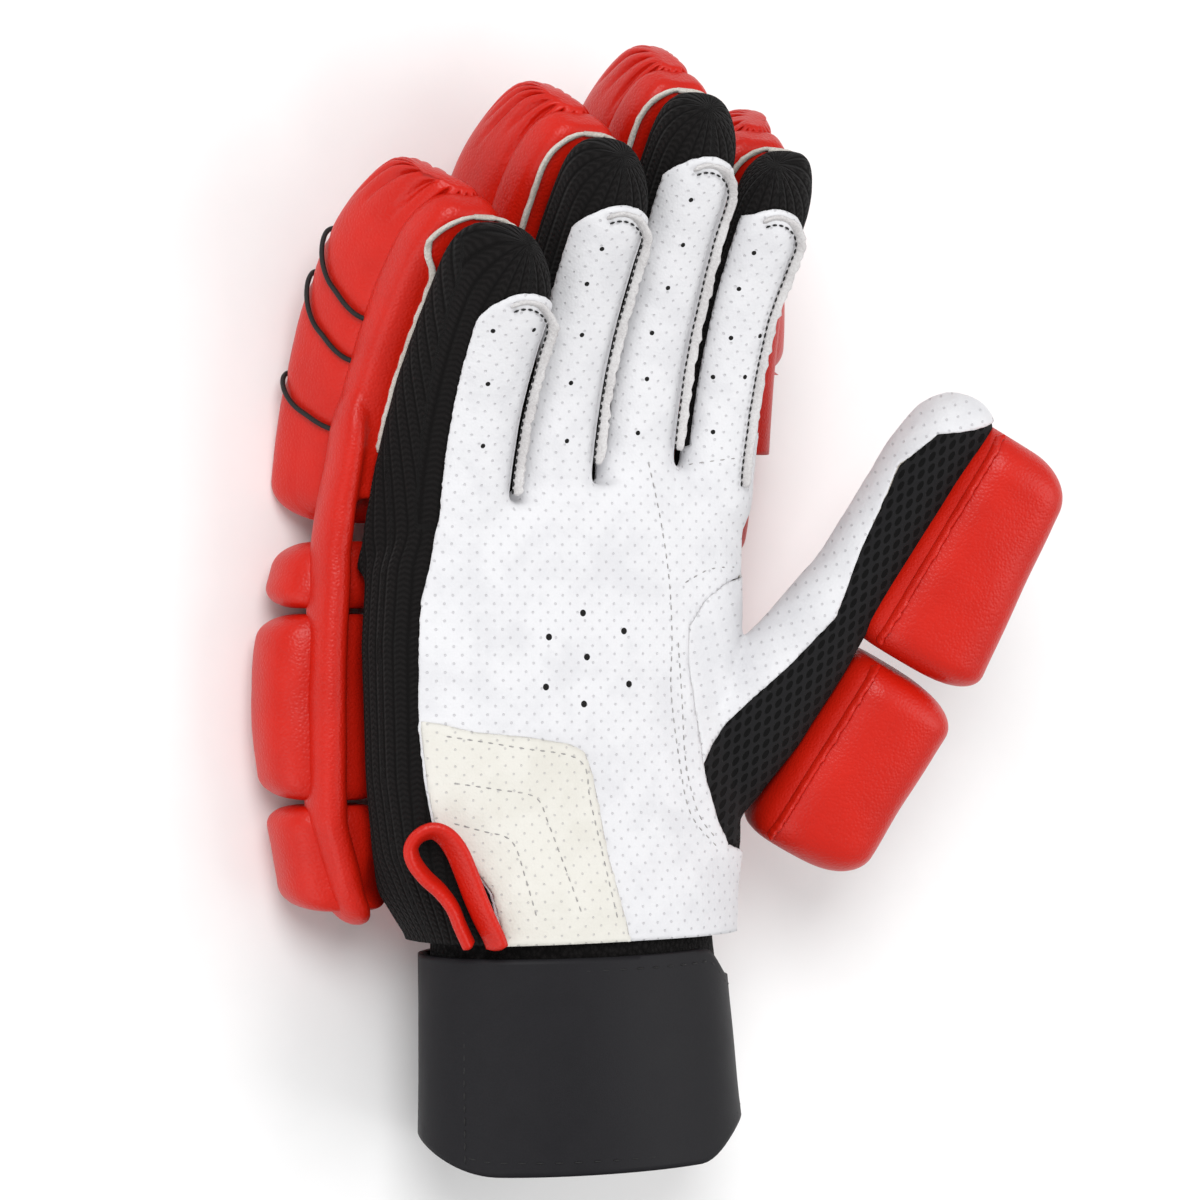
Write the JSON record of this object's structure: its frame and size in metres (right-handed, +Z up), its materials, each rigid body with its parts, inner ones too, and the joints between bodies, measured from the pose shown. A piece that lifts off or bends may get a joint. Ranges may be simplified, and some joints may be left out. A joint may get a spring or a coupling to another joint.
{
  "type": "cricket batting glove",
  "caption": "Right-hand batting glove: white leather palm and finger fronts, black knit gussets, red padded rolls and blocks on the back, padded thumb, and a strapped wrist.",
  "frame": {"origin": "on the flat underside of the middle finger's long back block, where the glove rests on a surface, below the middle of the palm", "axes": "+Y along the fingers from the wrist to the tips, +Z up out of the palm, +X towards the thumb"},
  "size_m": [0.1943, 0.2717, 0.0892],
  "materials": {
    "leather": "soft white, finely perforated, matt",
    "patch": "cream, soft matt grain",
    "knit": "black ribbed knit",
    "mesh": "black air mesh with oval holes",
    "towelling": "black towelling",
    "padding": "red soft synthetic leather over foam, satin",
    "strap": "charcoal synthetic leather, satin",
    "cord": "thin black round cord"
  },
  "bodies": {
    "root": {"palm_leather": "leather", "thumb_leather": "leather", "thumb_mesh": "mesh", "knit_little": "knit", "knit_ring": "knit", "knit_middle": "knit", "knit_index": "knit", "knit_hand": "knit", "heel_patch": "patch", "side_bar": "padding", "hood_ring": "padding", "hood_middle": "padding", "hood_index": "padding", "roll_little": "padding", "wrist_block_little": "padding", "back_block_little": "padding", "knuckle_block_little": "padding", "roll_ring": "padding", "wrist_block_ring": "padding", "back_block_ring": "padding", "knuckle_block_ring": "padding", "roll_middle": "padding", "wrist_block_middle": "padding", "back_block_middle": "padding", "knuckle_block_middle": "padding", "roll_index": "padding", "wrist_block_index": "padding", "back_block_index": "padding", "knuckle_block_index": "padding", "cord_1": "cord", "cord_2": "cord", "cord_3": "cord", "thumb_base_pad": "padding", "thumb_tip_pad": "padding", "wrist_cuff": "towelling", "wrist_strap": "strap", "pull_loop": "padding"}
  },
  "joints": []
}
